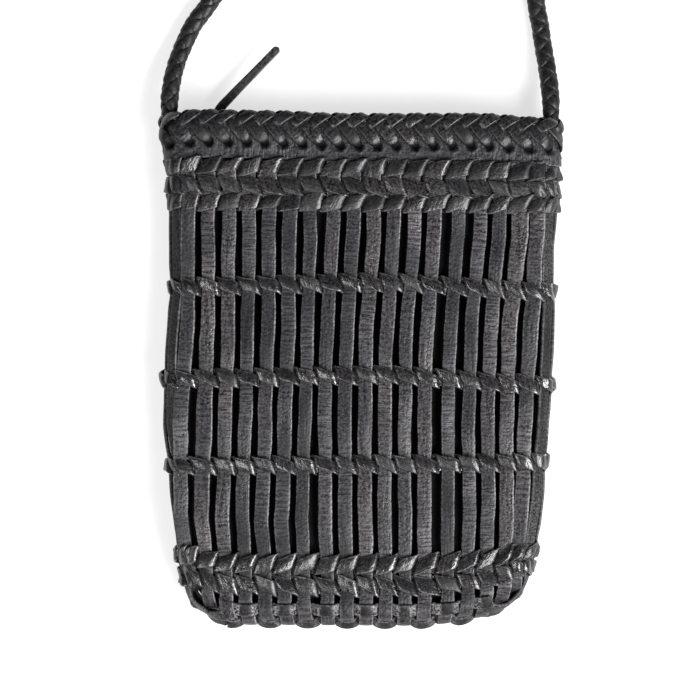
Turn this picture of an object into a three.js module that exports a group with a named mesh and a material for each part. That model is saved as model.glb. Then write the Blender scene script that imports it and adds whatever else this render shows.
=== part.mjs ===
// Woven leather bag lying on its back: twined strips, a laced rim, a fabric pouch and a braided strap.
// Millimetres. +X right across the front, +Y from the base to the mouth, +Z out of the front face.
// The origin is the middle of the flat back of the rim lacing, on the surface that the bag lies on.
import * as THREE from 'three';

// Body
const BASE_Y = -249.5;
const CORNER_RADIUS = 30;
const HALF_DEPTH = 10.5;
const EDGE_INSET = 10;
const CENTRE_Z = 13.5;
const CROWN = 2;
const PRESSED_BELOW = -0.9;
const LEAN = 0.01;

// Strips
const FRONT_STRIPS = 18;
const STRIP_WIDTH = 7.4;
const EDGE_STRIP_WIDTH = 6.2;
const OUTER_STRIP_WIDTH = 7;
const STRIP_THICK = 1.8;
const STRIP_TOP_Y = -17.4;
const GAP = 0.3;
const SIDE_TURN = THREE.MathUtils.degToRad(48);
const BASE_TURN = THREE.MathUtils.degToRad(70);
const WEAVE = STRIP_THICK / 2 + GAP / 2;
const CORNER_LIFT = 1.5;
const FIRST_WOVEN = 2;
const FOOT_RISE = 3.4;

// Turns over the rounded edge at which a corner upright has a section, in degrees
const CORNER_TURNS = [66, 40, 14, -14, -40, -66];

// Path of a base strip round a corner: degrees from straight down, and how far it stands off
const CORNER_STEPS = [
  { angle: 10, lift: CORNER_LIFT },
  { angle: 32, lift: CORNER_LIFT },
  { angle: 50, lift: CORNER_LIFT },
  { angle: 70, lift: CORNER_LIFT / 4 },
  { angle: 90, lift: 0 },
];

// Half-width of the outermost front strip's centre line, and the share of the crown, by height
const LEVELS = [
  { y: STRIP_TOP_Y, reach: 84.8, crown: 0 },
  { y: -41, reach: 84.4, crown: 0 },
  { y: -78.9, reach: 83.8, crown: 0.8 },
  { y: -125.5, reach: 84.8, crown: 1 },
  { y: -169, reach: 82, crown: 0.8 },
  { y: -205, reach: 79.2, crown: 0 },
];
const CROWN_START = LEVELS[1];
const SIDE_OUT = EDGE_INSET + 1.6;

// Twined rows: height, how far the row climbs at the corners, strand width, and its lean
const STRAND_THICK = 1.6;
const SLIM = { width: 3.2, swing: 2.05 };
const BROAD = { width: 3.6, swing: 2.35 };
const TWINED_ROWS = [
  { name: 'row_1', y: -78.9, climb: 0, strand: SLIM, lean: -1 },
  { name: 'row_2', y: -125.5, climb: 0, strand: SLIM, lean: -1 },
  { name: 'row_3', y: -169, climb: 0, strand: SLIM, lean: -1 },
  { name: 'base_upper', y: -220.1, climb: 13, strand: BROAD, lean: 1 },
  { name: 'base_lower', y: -231.2, climb: 14.6, strand: BROAD, lean: -1 },
];
const CLIMB_POWER = 5;

// Top band of three close twined rows, a channel over the tops of the strips
const BAND_TOP_Y = -15;
const BAND_BOTTOM_Y = -40.5;
const BAND_WALL = 1.8;
const BAND_RIBS = 3;
const RIB_DEPTH = 0.7;
const RIB_SLANT = 1.1;

// Rim
const RIM_REACH = 98.5;
const RIM_HALF_DEPTH = 10;
const RIM_THICK = 2.4;
const RIM_TOP_Y = 6.6;
const RIM_BOTTOM_Y = -14.7;
const LACE_OUT = 3.5;
const LACE_TOP_Y = 9.1;
const LACE_BOTTOM_Y = -9.6;
const LACE_DIP = 0.7;
const LACE_STITCHES = 20;
const RIM_TURNS = 6;

// Fabric pouch: height, half-width
const POUCH_WALL = 1;
const POUCH_HALF_DEPTH = 7.1;
const POUCH_LEVELS = [
  { y: -10.2, reach: 92.6 },
  { y: -125.5, reach: 92.6 },
  { y: -205, reach: 87 },
  { y: -222, reach: 77 },
  { y: -232, reach: 62 },
  { y: -236, reach: 48 },
];
const POUCH_TURNS = 6;

// Braided strap: the middle line of its loop, from the left end of the rim round to the right end
const STRAP_RADIUS = 4.3;
const STRAP_SIDES = 8;
const STRAP_STEPS = 42;
const STRAP_ROUTE = [
  [-97.5, 9.5, 13.5], [-97.5, 15.2, 13.4], [-96.4, 25.3, 11.2], [-94.1, 35.4, 8], [-90.3, 45.5, 5.8],
  [-85.3, 55.7, 4.8], [-77.9, 65.8, 4.5], [-66, 84, 4.5], [-56, 106, 4.5], [-49, 134, 4.5],
  [-46, 170, 4.5], [-46, 250, 4.5], [-47, 340, 4.5], [-48, 425, 4.5], [-42, 464, 4.5],
  [-22, 494, 4.5], [8, 503, 4.5], [37, 493, 4.5], [56, 464, 4.5], [63, 425, 4.5],
  [68, 340, 4.5], [74, 250, 4.5], [80, 170, 4.5], [85, 106, 4.5], [89.8, 65.8, 4.5],
  [91.6, 55.7, 4.8], [93, 45.5, 5.8], [94.6, 35.4, 8], [95.9, 25.3, 11.2], [96.7, 15.2, 13.4],
  [96.7, 9.5, 13.5],
];

// Pull thong: its middle line from inside the mouth, lying on the back rim
const THONG_WIDTH = 4;
const THONG_THICK = 1.6;
const THONG_ROUTE = [
  [-77, -8, 8.1], [-75.6, 2, 8.1], [-72.6, 11, 8.2], [-66, 18.6, 8.6], [-54, 30.8, 9.6], [-42, 43, 10.6],
];

const LEATHER = new THREE.MeshStandardMaterial({ color: '#2b2a2c', roughness: 0.5, metalness: 0 });
const LACE_LEATHER = new THREE.MeshStandardMaterial({ color: '#333235', roughness: 0.45, metalness: 0 });
const FABRIC = new THREE.MeshStandardMaterial({ color: '#14151a', roughness: 0.95, metalness: 0 });

const UP = new THREE.Vector3(0, 0, 1);
const MOUTHWARD = new THREE.Vector3(0, 1, 0);
const RIGHT = new THREE.Vector3(1, 0, 0);
const LAST = FRONT_STRIPS - 1;
const bag = new THREE.Group();

function vec(x, y, z) {
  return new THREE.Vector3(x, y, z);
}

// A point moved along several directions
function moved(point, ...steps) {
  const result = point.clone();
  for (const [direction, distance] of steps) result.addScaledVector(direction, distance);
  return result;
}

// The body leans a little to its left towards the base
function leaned(point) {
  return vec(point.x + LEAN * point.y, point.y, point.z);
}

function signedVolume(points, index) {
  let six = 0;
  for (let i = 0; i < index.length; i += 3) {
    const [a, b, c] = [points[index[i]], points[index[i + 1]], points[index[i + 2]]];
    six += a.dot(b.clone().cross(c));
  }
  return six / 6;
}

// Closed skin through a row of equal sections, joined end to end or capped at both ends
function loft(sections, ring = false) {
  const count = sections[0].length;
  const points = sections.flat();
  const index = [];
  const spans = ring ? sections.length : sections.length - 1;
  for (let i = 0; i < spans; i += 1) {
    const here = i * count;
    const next = ((i + 1) % sections.length) * count;
    for (let j = 0; j < count; j += 1) {
      const k = (j + 1) % count;
      index.push(here + j, here + k, next + k);
      index.push(here + j, next + k, next + j);
    }
  }
  if (!ring) {
    const end = (sections.length - 1) * count;
    for (let j = 1; j < count - 1; j += 1) {
      index.push(0, j + 1, j);
      index.push(end, end + j, end + j + 1);
    }
  }
  if (signedVolume(points, index) < 0) index.reverse();
  const geometry = new THREE.BufferGeometry().setFromPoints(points);
  geometry.setIndex(index);
  geometry.computeVertexNormals();
  return geometry;
}

function addPiece(name, geometry, material) {
  const mesh = new THREE.Mesh(geometry, material);
  mesh.name = name;
  bag.add(mesh);
}

// Four corners of a flat strip's section
function stripSection(point, across, normal, width, thick) {
  const corners = [[-1, -1], [1, -1], [1, 1], [-1, 1]];
  return corners.map(([w, t]) => moved(point, [across, (w * width) / 2], [normal, (t * thick) / 2]));
}

function levelAt(y, key) {
  const lower = LEVELS.findIndex((level) => level.y <= y);
  if (lower === 0) return LEVELS[0][key];
  if (lower < 0) return LEVELS[LEVELS.length - 1][key];
  const [high, low] = [LEVELS[lower - 1], LEVELS[lower]];
  return THREE.MathUtils.mapLinear(y, high.y, low.y, high[key], low[key]);
}

// Place of a strip across the body, from -1 at the left end of the front to 1 at the right end
function shareOf(i) {
  return (2 * i) / LAST - 1;
}

function stripWidth(i) {
  return i === 0 || i === LAST ? OUTER_STRIP_WIDTH : STRIP_WIDTH;
}

// Middle of an upright strip on the front or the back
function uprightPoint(i, y, front) {
  const share = shareOf(i);
  const x = share * levelAt(y, 'reach');
  const crown = front ? CROWN * levelAt(y, 'crown') * (1 - share * share) : 0;
  return vec(x, y, CENTRE_Z + (front ? HALF_DEPTH + crown : -HALF_DEPTH));
}

// Rounded edge of the body: a half-round profile swept round the outline of sides, corners and base
const SIDE_Y = BASE_Y + CORNER_RADIUS;
const CORNER_X = LEVELS[LEVELS.length - 1].reach + SIDE_OUT - CORNER_RADIUS;

function edgeFrame(outward, middle, turn) {
  const point = moved(
    middle,
    [outward, -EDGE_INSET * (1 - Math.cos(turn))],
    [UP, HALF_DEPTH * Math.sin(turn)],
  );
  const normal = outward.clone().multiplyScalar(Math.cos(turn) / EDGE_INSET);
  normal.addScaledVector(UP, Math.sin(turn) / HALF_DEPTH).normalize();
  const along = vec(-outward.y, outward.x, 0);
  const across = normal.clone().cross(along);
  return { point, normal, along, across };
}

// Frame on the straight base under place x, or on a corner at an angle from straight down
function baseFrame(x, turn) {
  return edgeFrame(vec(0, -1, 0), vec(x, BASE_Y, CENTRE_Z), turn);
}

function cornerFrame(side, angle, turn) {
  const outward = vec(side * Math.sin(angle), -Math.cos(angle), 0);
  const middle = moved(vec(side * CORNER_X, SIDE_Y, CENTRE_Z), [outward, CORNER_RADIUS]);
  return edgeFrame(outward, middle, turn);
}

function sideFrame(side, y, turn) {
  const reach = levelAt(y, 'reach') + SIDE_OUT;
  return edgeFrame(vec(side, 0, 0), vec(side * reach, y, CENTRE_Z), turn);
}

// An upright passes outside a base strip, or inside it: by turns, and always inside at the corners
function isWoven(i) {
  return i >= FIRST_WOVEN && i <= LAST - FIRST_WOVEN;
}

function uprightSide(i, baseStrip) {
  if (!isWoven(i)) return -1;
  return (i + baseStrip) % 2 === 0 ? 1 : -1;
}

const BASE_STRIPS = [
  { name: 'base_strip_front', baseTurn: BASE_TURN, sideTurn: SIDE_TURN },
  { name: 'base_strip_middle', baseTurn: 0, sideTurn: 0 },
  { name: 'base_strip_back', baseTurn: -BASE_TURN, sideTurn: -SIDE_TURN },
];
const PLATE = STRIP_WIDTH / 2 + GAP;

// Sections of an upright under the base, weaving over and under the three base strips
function wovenBase(i, x) {
  const sections = [];
  BASE_STRIPS.forEach((strip, s) => {
    const frame = baseFrame(x, strip.baseTurn);
    for (const end of [1, -1]) {
      const outside = WEAVE * uprightSide(i, s);
      const middle = moved(frame.point, [frame.normal, outside], [frame.across, end * PLATE]);
      sections.push(stripSection(middle, RIGHT, frame.normal, stripWidth(i), STRIP_THICK));
    }
  });
  return sections;
}

// Sections of a corner upright: straight down over the rounded edge, inside the base strips
function cornerBase(i, x) {
  const sections = [];
  const side = Math.sign(x);
  const past = Math.abs(x) - CORNER_X;
  for (const degrees of CORNER_TURNS) {
    const turn = THREE.MathUtils.degToRad(degrees);
    const radius = CORNER_RADIUS - EDGE_INSET * (1 - Math.cos(turn));
    const frame = cornerFrame(side, Math.asin(past / radius), turn);
    const down = moved(frame.across, [RIGHT, -frame.across.x]).normalize();
    const across = down.clone().cross(frame.normal).normalize();
    const middle = moved(frame.point, [frame.normal, -CORNER_LIFT]);
    sections.push(stripSection(middle, across, frame.normal, stripWidth(i), STRIP_THICK));
  }
  return sections;
}

function flatSection(i, y, front) {
  const normal = vec(0, 0, front ? 1 : -1);
  return stripSection(uprightPoint(i, y, front), RIGHT, normal, stripWidth(i), STRIP_THICK);
}

// Lowest height at which an upright still lies flat, just above the rounded edge
function footY(x) {
  const past = Math.max(Math.abs(x) - CORNER_X, 0);
  return SIDE_Y + FOOT_RISE - Math.sqrt((CORNER_RADIUS - EDGE_INSET) ** 2 - past ** 2);
}

function addUprights() {
  for (let i = 0; i <= LAST; i += 1) {
    const levels = (front) => (front ? LEVELS : LEVELS.filter((level) => level !== CROWN_START));
    const run = (front) => levels(front).map(({ y }) => flatSection(i, y, front));
    const x = shareOf(i) * LEVELS[LEVELS.length - 1].reach;
    const under = isWoven(i) ? wovenBase(i, x) : cornerBase(i, x);
    const foot = (front) => flatSection(i, footY(x), front);
    const sections = [...run(true), foot(true), ...under, foot(false), ...run(false).reverse()];
    const name = `upright_${String(i + 1).padStart(2, '0')}`;
    addPiece(name, loft(sections.map((section) => section.map(leaned))), LEATHER);
  }
}

// Base strips: woven along the base, round both corners outside the uprights, and up both sides
function cornerSide(strip, side) {
  const sections = [];
  for (const { angle, lift } of CORNER_STEPS) {
    const share = THREE.MathUtils.smoothstep(angle, 0, CORNER_STEPS[1].angle);
    const turn = THREE.MathUtils.lerp(strip.baseTurn, strip.sideTurn, share);
    const frame = cornerFrame(side, THREE.MathUtils.degToRad(angle), turn);
    const middle = moved(frame.point, [frame.normal, lift]);
    sections.push(stripSection(middle, frame.across, frame.normal, EDGE_STRIP_WIDTH, STRIP_THICK));
  }
  for (const { y } of [...LEVELS].reverse()) {
    const frame = sideFrame(side, y, strip.sideTurn);
    sections.push(stripSection(frame.point, frame.across, frame.normal, EDGE_STRIP_WIDTH, STRIP_THICK));
  }
  return sections;
}

function addBaseStrips() {
  BASE_STRIPS.forEach((strip, s) => {
    const sections = cornerSide(strip, -1).reverse();
    for (let i = FIRST_WOVEN; i <= LAST - FIRST_WOVEN; i += 1) {
      const x = shareOf(i) * LEVELS[LEVELS.length - 1].reach;
      const frame = baseFrame(x, strip.baseTurn);
      for (const end of [-1, 1]) {
        const outside = -WEAVE * uprightSide(i, s);
        const middle = moved(frame.point, [frame.normal, outside], [RIGHT, end * PLATE]);
        sections.push(stripSection(middle, frame.across, frame.normal, EDGE_STRIP_WIDTH, STRIP_THICK));
      }
    }
    sections.push(...cornerSide(strip, 1));
    addPiece(strip.name, loft(sections.map((section) => section.map(leaned))), LEATHER);
  });
}

// Every strip that a ring meets, in order: front left to right, right edge, back, left edge
function stripsRound(rowY) {
  const strips = [];
  const front = (i) => ({
    point: uprightPoint(i, rowY(i), true),
    normal: UP,
    along: RIGHT,
    width: stripWidth(i),
  });
  const back = (i) => ({
    point: uprightPoint(i, rowY(i), false),
    normal: UP.clone().negate(),
    along: RIGHT.clone().negate(),
    width: stripWidth(i),
  });
  const edge = (side, turn) => {
    const frame = sideFrame(side, rowY(-1), turn);
    return { point: frame.point, normal: frame.normal, along: vec(0, 0, -side), width: EDGE_STRIP_WIDTH };
  };
  for (let i = 0; i <= LAST; i += 1) strips.push(front(i));
  for (const strip of BASE_STRIPS) strips.push(edge(1, strip.sideTurn));
  for (let i = LAST; i >= 0; i -= 1) strips.push(back(i));
  for (const strip of [...BASE_STRIPS].reverse()) strips.push(edge(-1, strip.sideTurn));
  for (const strip of strips) {
    const square = strip.normal.clone().cross(MOUTHWARD).normalize();
    if (square.dot(strip.along) < 0) square.negate();
    strip.along = square;
  }
  return strips;
}

// Height of a row at a strip: level across the middle, climbing towards the corners and the sides
function rowHeight(row) {
  return (i) => row.y + row.climb * (i < 0 ? 1 : Math.abs(shareOf(i)) ** CLIMB_POWER);
}

// Two strands twist about each other: each passes outside one strip and inside the next
function addTwinedRow(row) {
  const strips = stripsRound(rowHeight(row));
  const out = STRIP_THICK / 2 + GAP + STRAND_THICK / 2;
  ['a', 'b'].forEach((letter, strand) => {
    const sections = [];
    strips.forEach((strip, k) => {
      const face = (k + strand) % 2 === 0 ? 1 : -1;
      for (const end of [-1, 1]) {
        const middle = moved(
          strip.point,
          [strip.normal, face * out],
          [strip.along, end * (strip.width / 2 + GAP)],
          [MOUTHWARD, end * face * row.lean * row.strand.swing],
        );
        sections.push(stripSection(middle, MOUTHWARD, strip.normal, row.strand.width, STRAND_THICK));
      }
    });
    const skin = loft(sections.map((section) => section.map(leaned)), true);
    addPiece(`twine_${row.name}_${letter}`, skin, LACE_LEATHER);
  });
}

// Ring of stations that keeps flat over each edge strip
function bandStations() {
  const stations = [];
  for (const strip of stripsRound(() => (BAND_TOP_Y + BAND_BOTTOM_Y) / 2)) {
    const flatBack = isPressed(strip.normal);
    const atTurn = strip.width !== STRIP_WIDTH;
    const middle = flatBack ? [] : [0];
    for (const end of atTurn ? [-1, 1] : middle) {
      stations.push({ ...strip, point: moved(strip.point, [strip.along, end * (strip.width / 2 + GAP)]) });
    }
  }
  return stations;
}

// The bag's weight presses its back flat
function isPressed(normal) {
  return normal.z < PRESSED_BELOW;
}

// Section of the top band: ribbed outer wall, plain inner wall, slot open downwards for the strips
function bandSection(station, odd) {
  const slot = STRIP_THICK / 2 + GAP;
  const face = slot + BAND_WALL;
  const dip = isPressed(station.normal) ? 0 : RIB_DEPTH;
  const middleY = (BAND_TOP_Y + BAND_BOTTOM_Y) / 2;
  const rib = (BAND_TOP_Y - BAND_BOTTOM_Y) / BAND_RIBS;
  const outline = [[slot, BAND_BOTTOM_Y]];
  for (let level = 0; level <= 2 * BAND_RIBS; level += 1) {
    const valley = level % 2 === 0;
    const inside = level > 0 && level < 2 * BAND_RIBS;
    const slant = valley && inside ? (odd ? RIB_SLANT : -RIB_SLANT) : 0;
    outline.push([valley ? face - dip : face, BAND_BOTTOM_Y + (level * rib) / 2 + slant]);
  }
  outline.push([-face, BAND_TOP_Y], [-face, BAND_BOTTOM_Y], [-slot, BAND_BOTTOM_Y]);
  outline.push([-slot, STRIP_TOP_Y + GAP], [slot, STRIP_TOP_Y + GAP]);
  return outline.map(([n, y]) => moved(station.point, [station.normal, n], [MOUTHWARD, y - middleY]));
}

function addTopBand() {
  const sections = bandStations().map((station, k) => bandSection(station, k % 2 === 1));
  addPiece('twine_top_band', loft(sections.map((section) => section.map(leaned)), true), LACE_LEATHER);
}

// Stations round the rim: even steps along the front, turns round both ends, one step along the back
function rimStations(frontSteps, turnSteps) {
  const stations = [];
  const straight = RIM_REACH - RIM_HALF_DEPTH;
  for (const side of [1, -1]) {
    const steps = side > 0 ? frontSteps : 1;
    for (let i = 0; i < steps; i += 1) {
      const x = side * straight * ((2 * i) / steps - 1);
      stations.push({ point: vec(x, 0, CENTRE_Z + side * RIM_HALF_DEPTH), normal: vec(0, 0, side) });
    }
    for (let i = 0; i < turnSteps; i += 1) {
      const turn = Math.PI * (0.5 - i / turnSteps);
      const normal = vec(side * Math.cos(turn), 0, side * Math.sin(turn));
      stations.push({ point: moved(vec(side * straight, 0, CENTRE_Z), [normal, RIM_HALF_DEPTH]), normal });
    }
  }
  return stations;
}

function sweepRim(stations, outlineAt) {
  return loft(stations.map((station, k) => outlineAt(station, k).map(([n, y]) =>
    leaned(moved(station.point, [station.normal, n], [MOUTHWARD, y])))), true);
}

function addRimBand() {
  const half = RIM_THICK / 2;
  const outline = [[half, RIM_BOTTOM_Y], [half, RIM_TOP_Y], [-half, RIM_TOP_Y], [-half, RIM_BOTTOM_Y]];
  addPiece('rim_band', sweepRim(rimStations(1, RIM_TURNS), () => outline), LEATHER);
}

// Lacing over the top of the rim: raised leaves by turns above and below, pressed flat at the back
function addRimLacing() {
  const slot = RIM_THICK / 2 + GAP;
  const inset = LACE_OUT - slot;
  const outline = (station, k) => {
    const dip = isPressed(station.normal) ? 0 : LACE_DIP;
    const low = LACE_OUT - (k % 2 === 0 ? dip : 0);
    const high = LACE_OUT - (k % 2 === 0 ? 0 : dip);
    return [
      [slot, LACE_BOTTOM_Y], [low, LACE_BOTTOM_Y + inset], [high, LACE_TOP_Y - 2 * inset],
      [inset, LACE_TOP_Y], [-inset, LACE_TOP_Y],
      [-LACE_OUT, LACE_TOP_Y - 2 * inset], [-LACE_OUT, LACE_BOTTOM_Y + inset], [-slot, LACE_BOTTOM_Y],
      [-slot, RIM_TOP_Y + GAP], [slot, RIM_TOP_Y + GAP],
    ];
  };
  addPiece('rim_lacing', sweepRim(rimStations(LACE_STITCHES, RIM_TURNS), outline), LACE_LEATHER);
}

// Outline of the pouch at one height, a long round-ended loop
function pouchLoop(y, reach, halfDepth) {
  const loop = [];
  for (const side of [1, -1]) {
    for (let i = 0; i <= POUCH_TURNS; i += 1) {
      const turn = Math.PI * (i / POUCH_TURNS - 0.5);
      const x = side * (reach - halfDepth + halfDepth * Math.cos(turn));
      loop.push(leaned(vec(x, y, CENTRE_Z + side * halfDepth * Math.sin(turn))));
    }
  }
  return loop;
}

function addPouch() {
  const outer = POUCH_LEVELS.map(({ y, reach }) => pouchLoop(y, reach, POUCH_HALF_DEPTH));
  const last = POUCH_LEVELS.length - 1;
  const inner = POUCH_LEVELS.map(({ y, reach }, i) => pouchLoop(
    y + (i === last ? POUCH_WALL : 0),
    reach - POUCH_WALL,
    POUCH_HALF_DEPTH - POUCH_WALL,
  ));
  addPiece('lining_pouch', loft([...inner.reverse(), ...outer]), FABRIC);
}

function addStrap() {
  const path = new THREE.CatmullRomCurve3(STRAP_ROUTE.map((point) => vec(...point)));
  const section = new THREE.Shape();
  for (let i = 0; i < STRAP_SIDES; i += 1) {
    const angle = (2 * Math.PI * (i + 0.5)) / STRAP_SIDES;
    const corner = [STRAP_RADIUS * Math.cos(angle), STRAP_RADIUS * Math.sin(angle)];
    if (i === 0) section.moveTo(...corner);
    else section.lineTo(...corner);
  }
  const options = { steps: STRAP_STEPS, extrudePath: path, bevelEnabled: false, curveSegments: 1 };
  addPiece('strap', new THREE.ExtrudeGeometry(section, options), LACE_LEATHER);
}

function addThong() {
  const points = THONG_ROUTE.map((point) => vec(...point));
  const sections = points.map((point, i) => {
    const before = points[Math.max(i - 1, 0)];
    const after = points[Math.min(i + 1, points.length - 1)];
    const along = after.clone().sub(before).normalize();
    const across = along.clone().cross(UP).normalize();
    return stripSection(point, across, across.clone().cross(along), THONG_WIDTH, THONG_THICK);
  });
  addPiece('pull_thong', loft(sections), LEATHER);
}

addUprights();
addBaseStrips();
TWINED_ROWS.forEach(addTwinedRow);
addTopBand();
addRimBand();
addRimLacing();
addPouch();
addStrap();
addThong();

export default bag;
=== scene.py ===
"""Looks of the woven leather bag: a curved piece for every solid."""

import math

import bpy
import numpy as np
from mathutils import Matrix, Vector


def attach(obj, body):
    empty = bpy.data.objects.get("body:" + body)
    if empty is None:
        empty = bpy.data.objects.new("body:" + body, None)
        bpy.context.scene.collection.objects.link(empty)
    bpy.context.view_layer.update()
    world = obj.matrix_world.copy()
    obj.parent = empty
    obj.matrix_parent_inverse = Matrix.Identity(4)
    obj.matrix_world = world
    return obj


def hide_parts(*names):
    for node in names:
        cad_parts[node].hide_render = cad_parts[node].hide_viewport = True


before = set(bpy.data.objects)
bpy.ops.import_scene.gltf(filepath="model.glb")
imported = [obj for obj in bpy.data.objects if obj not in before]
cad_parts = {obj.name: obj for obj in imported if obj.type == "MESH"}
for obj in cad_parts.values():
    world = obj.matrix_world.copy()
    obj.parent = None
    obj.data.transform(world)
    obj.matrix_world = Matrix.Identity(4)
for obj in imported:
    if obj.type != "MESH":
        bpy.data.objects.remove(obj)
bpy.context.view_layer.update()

MM = 0.001
BODY = "root"

# Body, in millimetres, with the sizes of the solids
BASE_Y = -249.5
CORNER_RADIUS = 30
HALF_DEPTH = 10.5
EDGE_INSET = 10
CENTRE_Z = 13.5
CROWN = 2
LEAN = 0.01
SIDE_OUT = 11.6
SIDE_TURN = math.radians(48)
BASE_TURN = math.radians(70)

# Strips
FRONT_STRIPS = 18
LAST = FRONT_STRIPS - 1
STRIP_WIDTH = 7.1
EDGE_STRIP_WIDTH = 6.4
STRIP_THICK = 1.8
STRIP_CROWN = 0.2
STRIP_TOP_Y = -15.5
FRONT_STEP = 1.4
BACK_STEP = 3.0
MID_TONE = 0.5

# A front strip between the rows that hold it, and what differs from strip to strip
HOLD_REACH = 9
FREE_BOW = 0.5
HELD_SINK = 0.5
HELD_NARROWING = 0.07
FRONT_CROWN = 0.22
STRIP_SEED = 100
STRIP_RANGES = {"roll": (-0.05, 0.05), "width": (0.95, 1.05), "tone": (-0.4, 0.4)}

# Irregular waves: first seed, wavelength and size
WAVES = {
    "strip bow": (200, 90, 0.35),
    "strip sway": (300, 70, 0.35),
    "strip roll": (400, 110, 0.13),
    "strip width": (500, 9, 0.09),
    "strip crown": (600, 60, 0.16),
    "strip tone": (700, 130, 0.25),
    "side bow": (800, 90, 0.3),
    "base width": (900, 8, 0.08),
    "base tone": (920, 90, 0.15),
    "braid swell": (31, 40, 0.02),
    "braid tone": (33, 30, 0.3),
    "cloth fold": (51, 46, 0.34),
}
WAVE_RATES = (1, 2.3, 4.7)

# Half-width at the outermost uprights and share of the crown, from the base up
LEVELS = {
    "y": [-205, -169, -125.5, -78.9, -41, -17.4],
    "reach": [79.2, 82, 84.8, 83.8, 84.4, 84.8],
    "crown": [0, 0.8, 1, 0.8, 0, 0],
}
SIDE_Y = BASE_Y + CORNER_RADIUS
CORNER_X = LEVELS["reach"][0] + SIDE_OUT - CORNER_RADIUS

# Centre lines of the first and last front strips, from the base up
FRONT = {
    "y": [-222, -197, -149, -104, -53, -17],
    "left": [-88, -90.4, -89, -87.7, -87.5, -87.5],
    "right": [79.4, 80.4, 82.5, 84.2, 87, 87],
}

# Strips pushed right of their even places: the right half by height, and the last few
TIER_Y = [-41, -53, -79, -104, -149, -197, -222]
RIGHT_HALF_PUSH = [1.6, 1.5, 0.4, -0.7, 0, 2, 2]
RIGHT_HALF_START = 7
END_PUSH = {13: 1.8, 14: 2.3, 15: 1.9, 16: 1.2}

# Near the sides the front falls away: how close, how far, how steep
FALL_FROM = 9
FALL_DEPTH = 3.5
FALL_TURN = 0.5

# Base strips: turns over the rounded edge at a corner's angles, roll, weave and the strength of the sheen
# painted pale on their bends
FRONT_ORDER, MIDDLE_ORDER, BACK_ORDER = range(3)
BASE_STRIPS = {
    "base_strip_front": {
        "order": FRONT_ORDER, "turns": [BASE_TURN, 0.2, 0.2, SIDE_TURN],
        "roll": 0, "weave": 1.5, "pale": 0.85,
    },
    "base_strip_middle": {
        "order": MIDDLE_ORDER, "turns": [0, 0, 0, 0], "roll": -0.65, "weave": 1.8, "pale": 0.4,
    },
    "base_strip_back": {
        "order": BACK_ORDER, "turns": [-0.8, -0.6, -0.6, -SIDE_TURN], "roll": 0, "weave": 1.25, "pale": 0.4,
    },
}
BASE_SEED = 30
BASE_STEP = 0.9
BASE_TONE = 0.3
WOVEN_DARKER = 0.2
ROLL_X = [-84, -70, 60, 80]
PAINTED_SHEEN_FROM = 0.62
PAINTED_SHEEN_SPAN = 0.22

# Uprights under the base
FIRST_WOVEN = 2
PAST_WOVEN = 3
BASE_WEAVE = 1.25
EDGE_WEAVE = 0.2
CREST_POWER = 0.6
UNDER_STEPS = 42

# Base strips round a corner, by degrees from straight down, and up the side
CORNER_LIFT = 1.5
CORNER_SPAN = (8, 88)
CORNER_STEPS = 26
TURN_ANGLES = [4, 28, 58, 88]
CORNER_RISE = {"angle": [8, 50, 70, 90], "lift": [CORNER_LIFT, CORNER_LIFT, CORNER_LIFT / 4, 0]}
LUMP_PITCH = 13
LUMP_START = 20
LUMPS = {"angle": [8, 18, 58, 72], "height": [0, 0.8, 0.8, 0]}
SIDE_START = 1.5
SIDE_STEP = 1.6
SIDE_BOW = 0.4
SIDE_SINK = 0.3
LEFT_SUNK = {"y": [-175, -150], "depth": [1.8, 0]}

# Twined rows: height, climb at the corners, wave from left to right, lace and lean
SLIM = {"width": 7, "swing": 3, "thick": 1.4, "crown": 0.4, "skew": 0.25, "bow": 0.2}
BROAD = {"width": 8.8, "swing": 3, "thick": 1.4, "crown": 0.55, "skew": 0.32, "bow": 0.4}
CLOSE = {"width": 8.9, "swing": 2.2, "thick": 1.3, "crown": 0.5, "skew": 0.4, "bow": 0.9}
ROWS = {
    "row_1": {"y": -78.9, "wave": (0, 2.4, -2.6), "lace": SLIM, "lean": -1},
    "row_2": {"y": -125.5, "wave": (0, 2.2, -3), "lace": SLIM, "lean": -1},
    "row_3": {"y": -169, "wave": (-0.6, 0.4, 1.2), "lace": SLIM, "lean": -1},
    "base_upper": {"y": -220.1, "climb": 4, "wave": (0, 0, 0), "lace": BROAD, "lean": 1},
    "base_lower": {"y": -230.4, "climb": 5, "wave": (0, 0, 0), "lace": BROAD, "lean": -1},
}
BAND_ROWS = [
    {"y": -19.3, "wave": (1.2, -0.6, -2.2), "lace": CLOSE, "lean": 1},
    {"y": -28.2, "wave": (1, -0.4, -1.6), "lace": CLOSE, "lean": -1},
    {"y": -36.8, "wave": (0.6, -0.2, -1.2), "lace": CLOSE, "lean": 1},
]
CLIMB_POWER = 7
WAVE_SHARES = [-1, 0.2, 1]
LACE_STEPS = 18
LACE_GAP = 0.15
ROW_SEED = 40
BAND_SEED = 60

# A lace comes out low in one gap, crosses a strip and dives high into the next gap
CROSSING = {
    "t": [0, 0.1, 0.22, 0.46, 0.66, 0.8, 0.9, 1],
    "reach": [-0.5, -0.49, -0.41, -0.02, 0.28, 0.44, 0.53, 0.5],
    "rise": [-0.2, 0.35, 0.8, 1.02, 1.18, 1.06, 0.6, -0.2],
    "swing": [-1, -0.86, -0.5, 0, 0.35, 0.6, 0.86, 1],
    "width": [0.5, 0.62, 0.88, 1, 1.03, 1, 0.88, 0.6],
}
PASSING = {
    "t": [0, 0.2, 0.5, 0.8, 1],
    "reach": [-0.5, -0.3, 0, 0.3, 0.5],
    "rise": [0.2, 0.8, 1, 0.8, 0.2],
    "swing": [1, 0.6, 0, -0.6, -1],
    "width": [0.5, 0.62, 0.7, 0.62, 0.5],
}

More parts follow.
